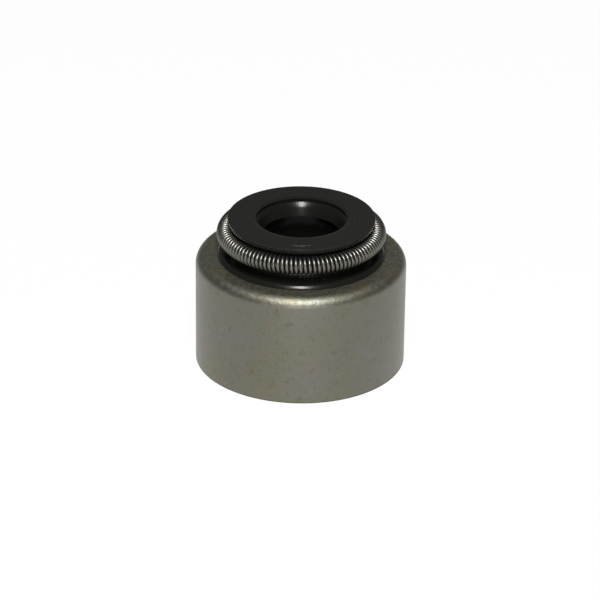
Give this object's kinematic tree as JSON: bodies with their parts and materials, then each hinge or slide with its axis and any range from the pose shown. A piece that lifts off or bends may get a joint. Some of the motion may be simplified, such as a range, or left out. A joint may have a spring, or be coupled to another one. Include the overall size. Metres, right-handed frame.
{
  "type": "valve stem seal",
  "caption": "Metal-cased valve stem seal: a drawn steel case with a bonded rubber body, a stem-wiping lip under a garter spring and a ribbed socket for the valve guide.",
  "frame": {"origin": "on the seal's axis, in the plane of the case's cut edge, on which it stands", "axes": "+Z along the seal's axis, from the socket for the valve guide to the sealing lip"},
  "size_m": [0.0164, 0.0164, 0.012],
  "materials": {
    "case_steel": "dull phosphated sheet steel, satin",
    "seal_rubber": "smooth moulded, half gloss",
    "spring_wire": "bright drawn wire"
  },
  "bodies": {
    "root": {"steel_case": "case_steel", "seal_body": "seal_rubber", "garter_spring": "spring_wire"}
  },
  "joints": []
}
